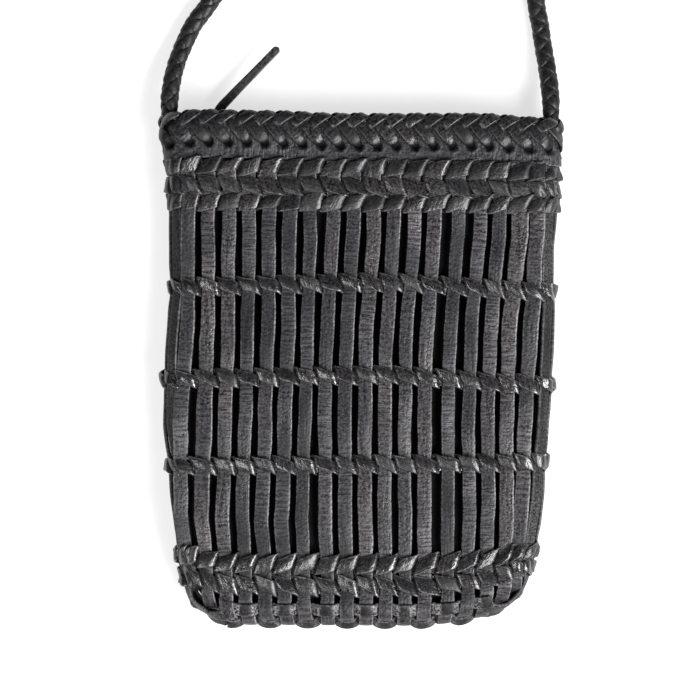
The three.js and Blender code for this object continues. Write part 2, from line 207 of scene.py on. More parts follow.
# What differs from crossing to crossing, and where a lace's edges bow forward
CROSSING_RANGES = {
    "shift": (-0.3, 0.3), "ripple": (-0.5, 0.5), "hump": (-0.1, 0.4), "tilt": (-0.25, 0.25),
    "width": (0.9, 1.08), "crown": (0.4, 1.5), "tone": (0.1, 0.95), "roll": (-0.22, 0.22),
    "skew": (0.5, 1.3), "bow": (0.3, 1.5),
}
BOW_FROM = 0.3
BOW_SPAN = 0.5
BOW_END_POWER = 8

# Rim
RIM_REACH = 98.5
RIM_HALF_DEPTH = 10
RIM_STRAIGHT = 2 * (RIM_REACH - RIM_HALF_DEPTH)
RIM_LENGTH = 2 * (RIM_STRAIGHT + math.pi * RIM_HALF_DEPTH)
RIM_THICK = 2.4
RIM_TOP_Y = 6.6
RIM_BOTTOM_Y = -14.7
RIM_STEP = 0.8
RIM_STITCHES = 44
RIM_PITCH = RIM_LENGTH / RIM_STITCHES
SHOULDER_Y = 3
EDGE_HEIGHT = 4.2
EDGE_ARC = 6.5
RIM_SAG = {"x": [-99, -82, -56, -5, 30, 60, 80, 98], "y": [-0.6, 1.1, 0.6, -1.1, -1.1, -0.9, -2.4, -3.4]}

# Punched holes in the rim, with shade painted dark over them, their raised lips and creases below
FIRST_HOLE = 1.5
HOLE_Y = -6.8
HOLE = {"shift": 0.6, "drop": 0.2, "depth": 1.9, "radius": 2.3, "dark": 0.97, "painted_shade_radius": 2.2}
LIP = {"height": 0.4, "radius": 3.1, "width": 0.7}
CREASE = {"below": 1, "fade": 2, "shift": (-1, 3), "height": (0, 0.25), "width": 0.7}
FACE_HALF = 0.96
FACE_POINTS = 30
OUTER_FROM = 0.9

# Rim laces: up from a hole, a plait across the shoulder, and over the top edge; shade is painted where they
# dive into a hole, pass under or go over the edge
RIM_LACE_THICK = 1.3
RIM_LACE_STEPS = 22
RIM_CHART_SEED = 70
TONGUE = {
    "across": [0.6, 0.2, -0.7, -2.2, -4.2, -6.4, -7.8],
    "climb": [-0.9, 0.5, 2.1, 4.4, 7, 9.8, 11.6],
    "width": [3.4, 4.8, 6, 6.5, 6.5, 6.4, 6.2],
    "lift": [-2.4, -0.7, 0.6, 1.3, 1.3, 0.8, 0],
    "shade": [1, 0.85, 0.4, 0.12, 0, 0, 0],
    "roll": 0.1,
}
PLAIT = {
    "across": [-5.2, -3.3, -0.6, 2.2, 4.6],
    "climb": [9.2, 10.6, 12.4, 14.2, 15.6],
    "width": [5, 5.4, 5.4, 5.4, 5],
    "lift": [-0.4, 1.7, 2.2, 2.2, 1.1],
    "shade": [0.7, 0, 0, 0, 0],
    "roll": -0.1,
}
OVER = {
    "across": [7, 5.4, 3.6, 1.4, -1.4, -3.8, -5.8, -7.2],
    "climb": [12.5, 13.6, 14.8, 16.4, 18.6, 22, 26, 31],
    "width": [4, 4.6, 5, 5.4, 6, 6.6, 6, 3.4],
    "lift": [-0.4, 0.2, 0.7, 1.1, 1.3, 1.3, 1, -0.8],
    "shade": [0.8, 0.4, 0, 0, 0, 0, 0, 0.5],
    "roll": 0,
}
STITCH_RANGES = {
    "hole": (-0.4, 0.4), "width": (0.95, 1.06), "crown": (0.25, 0.7), "roll": (-0.15, 0.15), "tone": (0, 0.9),
}

# The base's ends lie higher, its corners are drawn in, the sides spread and the back is pressed flat
BASE_LIFT = {"x": [-95, -88, -80, -68, 30, 50, 66, 85, 95], "y": [0.5, 1, 2.6, 0.6, 0, 1.8, 5, 7, 6]}
LIFT_FROM_Y = -200
LIFT_DEPTH = 40
DRAWN_IN = {"y": [-245, -236, -227, -219, -211], "left": [0.5, 2, 3.2, 1, 0], "right": [0.5, 2, 2.6, 1, 0]}
SPREAD = {
    "y": [-211, -185, -150, -118, -85, -60, -28, -4, 8],
    "left": [0, 1.5, 2.8, 1.4, 0, 0, 0, 1.2, 0],
    "right": [0, 1.5, 1.1, 1.4, 2.9, 1.9, 3.2, 1.2, 0],
}
PRESS = {"from": 2, "deepest": -1.4, "floor": 0.1}
DRAWN_FROM_X = 76
DRAWN_WIDTH = 12

# Strap and thong: the middle lines of their solids, the strap's ends deeper in the rim
BRAID_RADIUS = 2.9
BRAID_HEIGHT = 0.75
BRAID_PITCH = 18.2
BRAID_LACE = {"width": 7.3, "thick": 2.2, "crown": 0.2}
BRAID_ENDS = {"from_end": [0, 4, 14], "swell": [0.8, 0.88, 1]}
BRAID_STARTS = {1: 45, -1: 225}
BRAID_UNDER = 0.1
BRAID_TONE = 0.45
BRAID_SEED = 95
STRAP_ROUTE = [
    [-97.3, 4.5, 13.5], [-97.5, 15.2, 13.4], [-96.4, 25.3, 11.2], [-94.1, 35.4, 8], [-90.3, 45.5, 5.8],
    [-85.3, 55.7, 4.8], [-77.9, 65.8, 4.5], [-66, 84, 4.5], [-56, 106, 4.5], [-49, 134, 4.5],
    [-46, 170, 4.5], [-46, 250, 4.5], [-47, 340, 4.5], [-48, 425, 4.5], [-42, 464, 4.5],
    [-22, 494, 4.5], [8, 503, 4.5], [37, 493, 4.5], [56, 464, 4.5], [63, 425, 4.5],
    [68, 340, 4.5], [74, 250, 4.5], [80, 170, 4.5], [85, 106, 4.5], [89.8, 65.8, 4.5],
    [91.6, 55.7, 4.8], [93, 45.5, 5.8], [94.6, 35.4, 8], [95.9, 25.3, 11.2], [96.7, 15.2, 13.4],
    [96.7, 2, 13.5],
]
THONG_WIDTH = 4.2
THONG_FOOT_WIDTH = 5.4
THONG_THICK = 1.6
THONG_EVEN = 20
THONG_TIP = 1.8
THONG_TIP_LEAST = 0.03
THONG_ROUTE = [
    [-77, -8, 8.1], [-75.6, 2, 8.1], [-72.6, 11, 8.2], [-66, 18.6, 8.6], [-54, 30.8, 9.6], [-42, 43, 10.6],
]

# Fabric pouch: half-width by height, from the bottom up, and its upright folds
POUCH = {"y": [-243, -238, -230, -205, -125.5, -10.2], "reach": [72, 80, 86, 89, 92.6, 92.6]}
POUCH_HALF_DEPTH = 6.8
POUCH_EASE = 0.3
POUCH_ROWS = 90
POUCH_COLUMNS = 180
FOLD_ROUND = 380
FOLD_DRIFT = 6
FOLD_DRIFT_HEIGHT = 40
FOLD_SHARE = {"y": [-236, -200, -40, -10], "share": [0, 1, 1, 0.3]}

# Photograph: the frame's middle and width at the bag's front, and the lens
FRAME_X = -5.6
FRAME_Y = -111.3
FRAME_WIDTH = 354.2
FRONT_Z = 25
LENS = 180
SENSOR = 36

# Lights in metres and watts, and the floor
WORLD_STRENGTH = 0.55
LIGHTS = {
    "key": {"place": (1.05, -0.85, 1.4), "size": (1.4, 0.7), "power": 110},
    "side": {"place": (-1, -0.85, 1.3), "size": (0.9, 0.4), "power": 20},
}
FLOOR_REACH = 6
FLOOR = {
    "Base Color": (0.27, 0.27, 0.272, 1),
    "Emission Color": (1, 1, 1, 1),
    "Emission Strength": 0.64,
    "Roughness": 0.9,
    "Specular IOR Level": 0.1,
}

# Leathers: hollows, cool peaks, warm peaks, painted edge highlights; roughness, sheen, creases, pebbles,
# streaks, relief
LEATHERS = {
    "strip": (
        (0.0012, 0.0012, 0.0016, 1), (0.032, 0.0309, 0.0362, 1), (0.048, 0.0436, 0.0455, 1),
        (0.19, 0.184, 0.19, 1), 0.43, 0.25, 1.0, 0.5, 0.4, 0.27,
    ),
    # Base: its bright warm peaks give the pale painted sheen on the bends
    "base": (
        (0.001, 0.001, 0.0013, 1), (0.018, 0.0175, 0.0203, 1), (0.2, 0.188, 0.192, 1),
        (0.09, 0.087, 0.09, 1), 0.42, 0.17, 0.3, 0.3, 0.2, 0.12,
    ),
    "braid": (
        (0.0007, 0.0007, 0.0009, 1), (0.012, 0.0116, 0.0137, 1), (0.018, 0.0163, 0.0172, 1),
        (0.03, 0.029, 0.03, 1), 0.46, 0.3, 0.4, 0.5, 0.3, 0.17,
    ),
    "lace": (
        (0.001, 0.001, 0.0013, 1), (0.019, 0.0185, 0.0214, 1), (0.0285, 0.0258, 0.027, 1),
        (0.12, 0.116, 0.12, 1), 0.3, 0.5, 0.6, 0.5, 0.2, 0.18,
    ),
    "rim": (
        (0.001, 0.001, 0.0013, 1), (0.021, 0.0204, 0.0237, 1), (0.031, 0.0281, 0.0294, 1),
        (0.03, 0.029, 0.03, 1), 0.35, 0.34, 0.6, 0.5, 0.2, 0.18,
    ),
    "band": (
        (0.001, 0.001, 0.0013, 1), (0.019, 0.0185, 0.0214, 1), (0.0285, 0.0258, 0.027, 1),
        (0.06, 0.058, 0.06, 1), 0.37, 0.36, 0.6, 0.5, 0.2, 0.18,
    ),
}
# Colour of the painted shade
SHADE_COLOUR = (0.001, 0.001, 0.001, 1)

# Noises of leather: cycles per millimetre across and along, detail, range in use, roughness, least value
NOISES = {
    "grain": (0.62, 0.62, 1, 0.36, 0.64),
    "fine": (1.0, 1.0, 2, 0.36, 0.64, 0.65),
    "creases": (0.1, 0.6, 1, 0.4, 0.64),
    "streaks": (0.6, 0.05, 1, 0.38, 0.64),
    "patch": (0.004, 0.013, 1, 0.46, 0.62),
    "plain": (0.003, 0.0093, 1, 0.4, 0.58, 0.55, 0.5),
    "blotch": (0.07, 0.045, 2, 0.3, 0.7),
}
FINE_SHARE = 0.8

# Spans for worn colour, breaks in the painted edge highlights and dullness: from low and high, to low and
# high
WORN = {"height": (0.35, 1.5), "tone": (0, 1, 0.4, 1.3), "blotch": (0, 1, 0.7, 1.12)}
HIGHLIGHT_BREAKS = {"grain": (0.1, 0.9, 0.3, 1.0), "blotch": (0.2, 0.7, 0.25, 1.0)}
DULL = {"height": (0.3, 1.2, 0.0, 0.14), "blotch": (0, 1, 0.08, -0.08), "tone": (0, 1, 0.12, -0.08)}

# Cloth: cycles per millimetre over and along threads, range in use and relief
THREADS = (3.2, 0.7)
THREAD_SPAN = (0.8, 1.3)
THREAD_RELIEF = 0.1

X_AXIS, Y_AXIS, Z_AXIS = np.eye(3)
TINY = 1e-9

# Section of a lace or strip: place across, height and share of painted edge highlight
SECTION = [
    (-1, -0.4, 0.2), (-1, 0.25, 0.35), (-0.95, 0.72, 0.7), (-0.88, 0.95, 0.4), (-0.8, 1, 0.05),
    (-0.4, 1, 0), (0, 1, 0), (0.4, 1, 0),
    (0.8, 1, 0.05), (0.88, 0.95, 0.6), (0.95, 0.72, 1), (1, 0.25, 0.5), (1, -0.4, 0.25),
    (0.88, -1, 0.2), (0, -1, 0), (-0.88, -1, 0.2),
]

# Section of a full strand in the braid
ROUND_TURNS = np.linspace(math.pi, -math.pi, 16, endpoint=False)
ROUND_SECTION = [(math.cos(turn), math.sin(turn), 0) for turn in ROUND_TURNS]

# Points between two of a route, and how far apart two pieces' grain starts
ROUTE_STEPS = 24
CHART_SHIFT = 83.0


def unit(vectors):
    return vectors / np.maximum(np.linalg.norm(vectors, axis=-1, keepdims=True), TINY)


def tangents(line, closed=False):
    if closed:
        return unit(np.roll(line, -1, axis=0) - np.roll(line, 1, axis=0))
    return unit(np.gradient(line, axis=0))


def faced(line, outward, closed=False):
    """Across and normal directions of a ribbon that faces outward."""
    along = tangents(line, closed)
    normal = unit(outward - np.sum(outward * along, axis=1, keepdims=True) * along)
    return np.cross(normal, along), normal


def rolled(across, normal, angle):
    """The same directions turned about the line."""
    turn = np.broadcast_to(angle, len(across))[:, None]
    return across * np.cos(turn) + normal * np.sin(turn), normal * np.cos(turn) - across * np.sin(turn)


def curve(t, stops, values):
    """Smooth curve through the values at the given stops."""
    stops, values = np.array(stops, float), np.array(values, float)
    slopes = np.gradient(values, stops)
    k = np.clip(np.searchsorted(stops, t, side="right") - 1, 0, len(stops) - 2)
    length = stops[k + 1] - stops[k]
    share = (t - stops[k]) / length
    rise = values[k + 1] - values[k]
    lead = length * slopes[k] - rise
    trail = rise - length * slopes[k + 1]
    return values[k] + share * rise + share * (1 - share) * (lead * (1 - share) + trail * share)


def smooth_curve(points, spacing):
    """Even points along a smooth curve through the given ones."""
    points = np.array(points, float)
    ends = np.vstack([2 * points[0] - points[1], points, 2 * points[-1] - points[-2]])
    share = np.linspace(0, 1, ROUTE_STEPS, endpoint=False)[:, None]
    dense = []
    for a, b, c, d in zip(ends, ends[1:], ends[2:], ends[3:]):
        bend = 2 * a - 5 * b + 4 * c - d
        twist = 3 * b - a - 3 * c + d
        dense.append(0.5 * (2 * b + (c - a) * share + bend * share**2 + twist * share**3))
    dense = np.vstack(dense + [points[-1:]])
    run = np.concatenate([[0], np.cumsum(np.linalg.norm(np.diff(dense, axis=0), axis=1))])
    even = np.linspace(0, run[-1], max(int(run[-1] / spacing), 2))
    return np.stack([np.interp(even, run, dense[:, axis]) for axis in range(3)], axis=1), even


def wander(kind, offset, along):
    """Smooth irregular wave of a kind, the same on every run."""
    seed, wavelength, size = WAVES[kind]
    rng = np.random.default_rng(seed + offset)
    total = np.zeros_like(np.asarray(along, float))
    for rate in WAVE_RATES:
        phase = rng.uniform(0, 2 * math.pi)
        total = total + np.sin(2 * math.pi * rate * along / wavelength + phase) * rng.uniform(0.5, 1) / rate
    return size * total


def draws(seed, ranges):
    """Draws from named ranges, the same on every run."""
    rng = np.random.default_rng(seed)
    return lambda key: rng.uniform(*ranges[key])


def ribbon(line, across, normal, width, thick, crown=0, closed=False, section=SECTION, tone=MID_TONE, seed=0,
           relief=None, shade=None, bow=None):
    """Closed skin of a flat strip: points, faces, surface coordinates and tints."""
    count = len(line)
    place, height, edge_highlight = np.array(section, float).T
    sides = len(place)
    side = np.outer(np.broadcast_to(width, count) / 2, place)
    lift = np.outer(np.broadcast_to(thick, count) / 2, height)
    lift = lift + np.outer(np.broadcast_to(crown, count), 1 - place**2)
    if relief is not None:
        lift = lift + relief
    points = line[:, None] + across[:, None] * side[..., None] + normal[:, None] * lift[..., None]
    if bow is not None:
        points = points + bow[:, None] * (place**2)[None, :, None]
    steps = np.linalg.norm(np.roll(line, -1, axis=0) - line, axis=1)
    run = np.concatenate([[0], np.cumsum(steps)]) + seed * CHART_SHIFT
    i, j = np.meshgrid(np.arange(count if closed else count - 1), np.arange(sides), indexing="ij")
    i, j = i.ravel(), j.ravel()
    after, beside = (i + 1) % count, (j + 1) % sides
    corners = [(i, i, j), (after, i + 1, j), (after, i + 1, beside), (i, i, beside)]
    quads = np.stack([station * sides + k for station, _, k in corners], axis=1)
    places = [np.stack([side[station, k], run[place_at]], axis=1) for station, place_at, k in corners]
    chart = np.stack(places, axis=1).reshape(-1, 2)
    faces = quads.tolist()
    if not closed:
        faces.append(list(range(sides)))
        faces.append(list(range((count - 1) * sides + sides - 1, (count - 1) * sides - 1, -1)))
        chart = np.vstack([chart, np.zeros((2 * sides, 2))])
    return {
        "points": points.reshape(-1, 3),
        "faces": faces,
        "chart": chart,
        "edge_highlight": np.tile(edge_highlight, count),
        "tone": np.repeat(np.broadcast_to(tone, count), sides),
        "shade": np.zeros(count * sides) if shade is None else shade.ravel(),
    }


def settled(points):
    """Points after the bag has settled on the floor."""
    x, y, z = points.T
    lift = np.clip((LIFT_FROM_Y - y) / LIFT_DEPTH, 0, 1) * np.interp(x, BASE_LIFT["x"], BASE_LIFT["y"])
    left, right = (
        np.interp(y, DRAWN_IN["y"], DRAWN_IN[side]) - np.interp(y, SPREAD["y"], SPREAD[side])
        for side in ("left", "right")
    )
    drawn = np.where(x < 0, left, -right) * np.clip((np.abs(x) - DRAWN_FROM_X) / DRAWN_WIDTH, 0, 1)
    squeeze = (PRESS["from"] - PRESS["floor"]) / (PRESS["from"] - PRESS["deepest"])
    pressed = np.where(z < PRESS["from"], PRESS["floor"] + (z - PRESS["deepest"]) * squeeze, z)
    return np.stack([x + drawn, y + lift, pressed], axis=1)


def placed(name, data):
    """A new object in the scene."""
    thing = bpy.data.objects.new(name, data)
    bpy.context.scene.collection.objects.link(thing)
    return thing


def add_piece(name, parts, material, nodes):
    """One object of several skins, which stands for its solids."""
    faces = []
    start = 0
    for part in parts:
        faces += [[start + corner for corner in face] for face in part["faces"]]
        start += len(part["points"])
    points = settled(np.vstack([part["points"] for part in parts])) * MM
    mesh = bpy.data.meshes.new(name)
    mesh.from_pydata(points.tolist(), [], faces)
    chart = np.vstack([part["chart"] for part in parts])
    mesh.uv_layers.new(name="surface").data.foreach_set("uv", chart.ravel())
    for key in ("edge_highlight", "tone", "shade"):
        values = np.concatenate([part[key] for part in parts])
        mesh.attributes.new(key, "FLOAT", "POINT").data.foreach_set("value", values)
    mesh.shade_smooth()
    piece = placed(name, mesh)
    mesh.materials.append(material)
    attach(piece, BODY)
    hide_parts(*nodes)
    return piece


# Shape of the body

def level(y, key):
    return np.interp(y, LEVELS["y"], LEVELS[key])


def share_of(i):
    return 2 * i / LAST - 1


def leaned(points):
    return points + LEAN * points[..., 1:2] * X_AXIS


def pushed(i, y):
    """How far right of its even place a front strip lies."""
    tiers = np.interp(-np.asarray(y, float), [-value for value in TIER_Y], RIGHT_HALF_PUSH)
    return END_PUSH.get(i, 0) + (tiers if RIGHT_HALF_START <= i < LAST else 0)


def falling(x, y):
    """How much the front falls away towards the sides, from 0 to 1."""
    room = level(y, "reach") + SIDE_OUT - np.abs(x - LEAN * y)
    return np.clip(1 - room / FALL_FROM, 0, 1)


def strip_point(i, y, front):
    """Middle of an upright on the front or the back."""
    y = np.asarray(y, float)
    share = share_of(i)
    x = share * level(y, "reach") + LEAN * y
    z = np.full_like(y, CENTRE_Z - HALF_DEPTH)
    if front:
        left, right = (np.interp(y, FRONT["y"], FRONT[side]) for side in ("left", "right"))
        x = left + (right - left) * i / LAST + pushed(i, y)
        z = CENTRE_Z + HALF_DEPTH + CROWN * level(y, "crown") * (1 - share**2)
        z = z - FALL_DEPTH * falling(x, y) ** 2
    return np.stack([x, y, z], axis=-1)


def edge_point(outward, middle, turn):
    """Point and normal on the rounded edge of the body."""
    point = middle - EDGE_INSET * (1 - math.cos(turn)) * outward + HALF_DEPTH * math.sin(turn) * Z_AXIS
    normal = math.cos(turn) / EDGE_INSET * outward + math.sin(turn) / HALF_DEPTH * Z_AXIS
    return point, unit(normal)


def side_point(side, y, turn):
    """Point on the straight side, or on the corner below it."""
    if y < SIDE_Y:
        return corner_point(side, math.acos((SIDE_Y - y) / CORNER_RADIUS), turn)
    middle = np.array([side * (level(y, "reach") + SIDE_OUT), y, CENTRE_Z])
    return edge_point(side * X_AXIS, middle, turn)


def corner_point(side, angle, turn):
    outward = np.array([side * math.sin(angle), -math.cos(angle), 0])
    middle = np.array([side * CORNER_X, SIDE_Y, CENTRE_Z]) + CORNER_RADIUS * outward
    return edge_point(outward, middle, turn)


def row_height(row, share):
    wave = np.interp(share, WAVE_SHARES, row["wave"])
    return row["y"] + row.get("climb", 0) * abs(share) ** CLIMB_POWER + wave


def flat_wave(angle):
    """Cosine with broad crests."""
    wave = np.cos(angle)
    return np.sign(wave) * np.abs(wave) ** CREST_POWER


def is_woven(i):
    return FIRST_WOVEN <= i <= LAST - FIRST_WOVEN


def upright_side(i, base_strip):
    return 1 if (i + base_strip) % 2 == 0 else -1


# Uprights

def near_rows(i, y):
    """How close a height is to a strip's nearest row, from 0 to 1."""
    share = share_of(i)
    rows = [row_height(row, share) for row in ROWS.values()]
    gaps = np.min([np.abs(y - height) for height in rows], axis=0)
    return np.exp(-((gaps / HOLD_REACH) ** 2))


def front_run(i):
    """Front of an upright, which bows and turns between the rows that hold it."""
    foot = base_edge(i) + EDGE_INSET
    y = np.arange(STRIP_TOP_Y, foot, -FRONT_STEP)
    line = strip_point(i, y, True)
    free = 1 - near_rows(i, y)
    draw = draws(STRIP_SEED + i, STRIP_RANGES)
    line[:, 2] += free * (FREE_BOW + wander("strip bow", i, y)) - HELD_SINK * (1 - free)
    line[:, 0] += free * wander("strip sway", i, y)
    roll = free * (wander("strip roll", i, y) + draw("roll"))
    roll = roll + FALL_TURN * np.sign(share_of(i)) * falling(line[:, 0], y)
    width = STRIP_WIDTH * draw("width") * (1 - HELD_NARROWING * (1 - free))
    width = width + wander("strip width", i, y)
    crown = FRONT_CROWN + free * wander("strip crown", i, y)
    tone = np.clip(MID_TONE + wander("strip tone", i, y) + draw("tone"), 0, 1)
    outward = np.tile(Z_AXIS, (len(y), 1))
    return {"line": line, "outward": outward, "roll": roll, "width": width, "crown": crown, "tone": tone}


def base_places(i):
    """Where an upright meets the base at front and back."""
    return [strip_point(i, SIDE_Y, front)[0] for front in (True, False)]


def base_edge(i):
    """Lowest height of the rounded edge under an upright."""
    past = max(abs(base_places(i)[0] - LEAN * SIDE_Y) - CORNER_X, 0)
    return SIDE_Y - math.sqrt(CORNER_RADIUS**2 - past**2)


def base_run(i):
    """Under the base, over and under the base strips."""
    front, back = base_places(i)
    line, outward = [], []
    for turn in np.linspace(math.pi / 2, -math.pi / 2, UNDER_STEPS):
        x = np.interp(turn, [-math.pi / 2, math.pi / 2], [back, front])
        point, normal = edge_point(-Y_AXIS, np.array([x, base_edge(i), CENTRE_Z]), turn)
        if is_woven(i):
            fade = np.interp(abs(turn), [BASE_TURN, math.pi / 2], [1, EDGE_WEAVE])
            wave = flat_wave(math.pi * turn / BASE_TURN)
            offset = BASE_WEAVE * upright_side(i, MIDDLE_ORDER) * fade * wave
        else:
            offset = -CORNER_LIFT * math.cos(turn) ** 0.5
        line.append(point + normal * offset)
        outward.append(normal)
    return np.array(line), np.array(outward)


def back_run(i):
    """Back of an upright, pressed flat."""
    y = np.arange(base_edge(i) + EDGE_INSET, STRIP_TOP_Y, BACK_STEP)
    return strip_point(i, y, False), np.tile(-Z_AXIS, (len(y), 1))


def add_uprights(material):
    for i in range(FRONT_STRIPS):
        front = front_run(i)
        under, under_out = base_run(i)
        back, back_out = back_run(i)
        rest = len(under) + len(back)
        line = np.vstack([front["line"], under, back])
        across, normal = faced(line, np.vstack([front["outward"], under_out, back_out]))
        plain = {"roll": 0, "width": STRIP_WIDTH, "crown": STRIP_CROWN, "tone": MID_TONE}
        full = {key: np.concatenate([front[key], np.full(rest, value)]) for key, value in plain.items()}
        across, normal = rolled(across, normal, full["roll"])
        skin = ribbon(
            line, across, normal, full["width"], STRIP_THICK, full["crown"], tone=full["tone"], seed=i,
        )
        add_piece(f"strip_{i + 1:02d}", [skin], material, [f"upright_{i + 1:02d}"])


# Base strips, which become the side strips

def side_run(strip, side):
    """Round a corner outside the uprights and up the side."""
    points, normals = [], []
    for angle in np.linspace(*CORNER_SPAN, CORNER_STEPS):
        turn = np.interp(angle, TURN_ANGLES, strip["turns"])
        lift = np.interp(angle, CORNER_RISE["angle"], CORNER_RISE["lift"])
        if strip["order"] == MIDDLE_ORDER:
            lump = math.cos(2 * math.pi * CORNER_RADIUS * math.radians(angle - LUMP_START) / LUMP_PITCH)
            lift += lump * np.interp(angle, LUMPS["angle"], LUMPS["height"])
        point, normal = corner_point(side, math.radians(angle), turn)
        points.append(point + lift * normal)
        normals.append(normal)
    is_sunk = side < 0 and strip["order"] == FRONT_ORDER
    for y in np.arange(SIDE_Y + SIDE_START, STRIP_TOP_Y, SIDE_STEP):
        point, normal = side_point(side, y, strip["turns"][-1])
        apart = [(y - row["y"] - row.get("climb", 0)) / HOLD_REACH for row in ROWS.values()]
        free = 1 - max(math.exp(-(gap**2)) for gap in apart)
        bow = wander("side bow", strip["order"] * 2 + side, y)
        sunk = np.interp(y, LEFT_SUNK["y"], LEFT_SUNK["depth"]) if is_sunk else 0
        points.append(point + normal * (free * (SIDE_BOW + bow) - SIDE_SINK * (1 - free) - sunk))
        normals.append(normal)
    return np.array(points), np.array(normals)


def base_middle(strip):
    """Points and normals along the woven base, and where the strip bends, which gets painted sheen."""
    at_front = strip["order"] == FRONT_ORDER
    meetings = [base_places(i) for i in range(FRONT_STRIPS)]
    places = [meeting[0] if at_front else np.mean(meeting) for meeting in meetings]
    first, last = places[FIRST_WOVEN], places[LAST - FIRST_WOVEN]
    x = np.arange(first - PAST_WOVEN, last + PAST_WOVEN, BASE_STEP)
    phase = math.pi * np.interp(x, places, range(FRONT_STRIPS))
    offset = -strip["weave"] * upright_side(0, strip["order"]) * flat_wave(phase)
    points, normals = [], []
    for place, lift in zip(x, offset):
        point, normal = edge_point(-Y_AXIS, np.array([place, BASE_Y, CENTRE_Z]), strip["turns"][0])
        points.append(point + normal * lift)
        normals.append(normal)
    bend = np.clip((np.abs(np.sin(phase)) - PAINTED_SHEEN_FROM) / PAINTED_SHEEN_SPAN, 0, 1)
    return np.array(points), np.array(normals), bend


def add_base_strips(material):
    for name, strip in BASE_STRIPS.items():
        left, left_out = side_run(strip, -1)
        right, right_out = side_run(strip, 1)
        middle, middle_out, bend = base_middle(strip)
        line = np.vstack([leaned(left[::-1]), middle, leaned(right)])
        across, normal = faced(line, np.vstack([left_out[::-1], middle_out, right_out]))
        roll = np.interp(line[:, 0], ROLL_X, [0, strip["roll"], strip["roll"], 0])
        across, normal = rolled(across, normal, roll)
        run = np.arange(len(line))
        width = EDGE_STRIP_WIDTH + wander("base width", strip["order"], run)
        tone = BASE_TONE + wander("base tone", strip["order"], run)
        # Painted sheen: the bends of the woven part are painted pale; the rest of it is darker
        tone[len(left):len(left) + len(middle)] += strip["pale"] * bend - WOVEN_DARKER
        tone = np.clip(tone, 0, 1)
        seed = BASE_SEED + strip["order"]
        skin = ribbon(line, across, normal, width, STRIP_THICK, STRIP_CROWN, tone=tone, seed=seed)
        add_piece(name.replace("strip", "lace"), [skin], material, [name])


# Twined rows

def crossings(row):
    """Every strip that a row meets: front left to right, right side, back, left side."""
    found = []
    turns = [strip["turns"][-1] for strip in BASE_STRIPS.values()]
    for side in (1, -1):
        for i in range(FRONT_STRIPS)[::side]:
            found.append((strip_point(i, row_height(row, share_of(i)), side > 0), side * Z_AXIS))
        for turn in turns[::side]:
            point, normal = side_point(side, row_height(row, side), turn)
            found.append((leaned(point), normal))
    return np.array([point for point, _ in found]), np.array([normal for _, normal in found])


def twined_strand(row, strand, seed):
    """One of a row's two laces: outside one strip and inside the next."""
    points, normals = crossings(row)
    draw = draws(seed, CROSSING_RANGES)
    lace = row["lace"]
    gaps = (points + np.roll(points, -1, axis=0)) / 2
    gap_normals = unit(normals + np.roll(normals, -1, axis=0))
    t = np.linspace(0, 1, LACE_STEPS, endpoint=False)
    arch = np.sin(math.pi * t)
    ripple = np.sin(2 * math.pi * t)
    outer = {key: curve(t, CROSSING["t"], CROSSING[key]) for key in CROSSING}
    inner = {key: curve(t, PASSING["t"], PASSING[key]) for key in PASSING}
    out = STRIP_THICK / 2 + lace["thick"] / 2 + LACE_GAP
    line, forward, width, crown, tone, roll, skew, bow = [], [], [], [], [], [], [], []
    for k in range(len(points)):
        face = 1 if (k + strand) % 2 == 0 else -1
        shape = outer if face > 0 else inner
        reach = shape["reach"][:, None]
        before = 2 * (points[k] - gaps[k - 1])
        after = 2 * (gaps[k] - points[k])
        base = points[k] + np.where(reach < 0, reach * before, reach * after)
        turn = np.minimum(np.abs(2 * reach), 1)
        beside = np.where(reach < 0, gap_normals[k - 1], gap_normals[k])
        normal = unit(normals[k] * (1 - turn) + beside * turn)
        stray = draw("shift") + draw("ripple") * ripple
        rows_up = row["lean"] * lace["swing"] * shape["swing"] + stray * arch
        hump = draw("hump") * arch + draw("tilt") * ripple
        rise = shape["rise"] + (hump if face > 0 else 0)
        line.append(base + normal * (face * out * rise)[:, None] + Y_AXIS * rows_up[:, None])
        forward.append(np.where(reach < 0, unit(before), unit(after)))
        width.append(lace["width"] * (draw("width") * arch + 1 - arch) * shape["width"])
        crown.append(lace["crown"] * arch * (draw("crown") if face > 0 else 0))
        tone.append(np.full(LACE_STEPS, draw("tone")))
        roll.append(draw("roll") * arch)
        skew.append(np.full(LACE_STEPS, row["lean"] * lace["skew"] * draw("skew")))
        ahead = np.clip((t - BOW_FROM) / BOW_SPAN, 0, 1) * (1 - t**BOW_END_POWER) * (face > 0)
        bow.append(lace["bow"] * draw("bow") * ahead)
    line, forward = np.vstack(line), np.vstack(forward)
    along = tangents(line, True)
    across = unit(Y_AXIS + np.concatenate(skew)[:, None] * forward)
    across, normal = rolled(across, unit(np.cross(along, across)), np.concatenate(roll))
    return ribbon(
        line, across, normal, np.concatenate(width), lace["thick"], np.concatenate(crown), closed=True,
        tone=np.concatenate(tone), seed=seed, bow=forward * np.concatenate(bow)[:, None],
    )


def add_twined_rows(material, band_material):
    for order, (name, row) in enumerate(ROWS.items()):
        for strand, letter in enumerate("ab"):
            skin = twined_strand(row, strand, ROW_SEED + 2 * order + strand)
            add_piece(f"{name}_lace_{letter}", [skin], material, [f"twine_{name}_{letter}"])
    skins = []
    for order, row in enumerate(BAND_ROWS):
        skins += [twined_strand(row, strand, BAND_SEED + 2 * order + strand) for strand in range(2)]
    add_piece("top_band_laces", skins, band_material, ["twine_top_band"])


# Rim

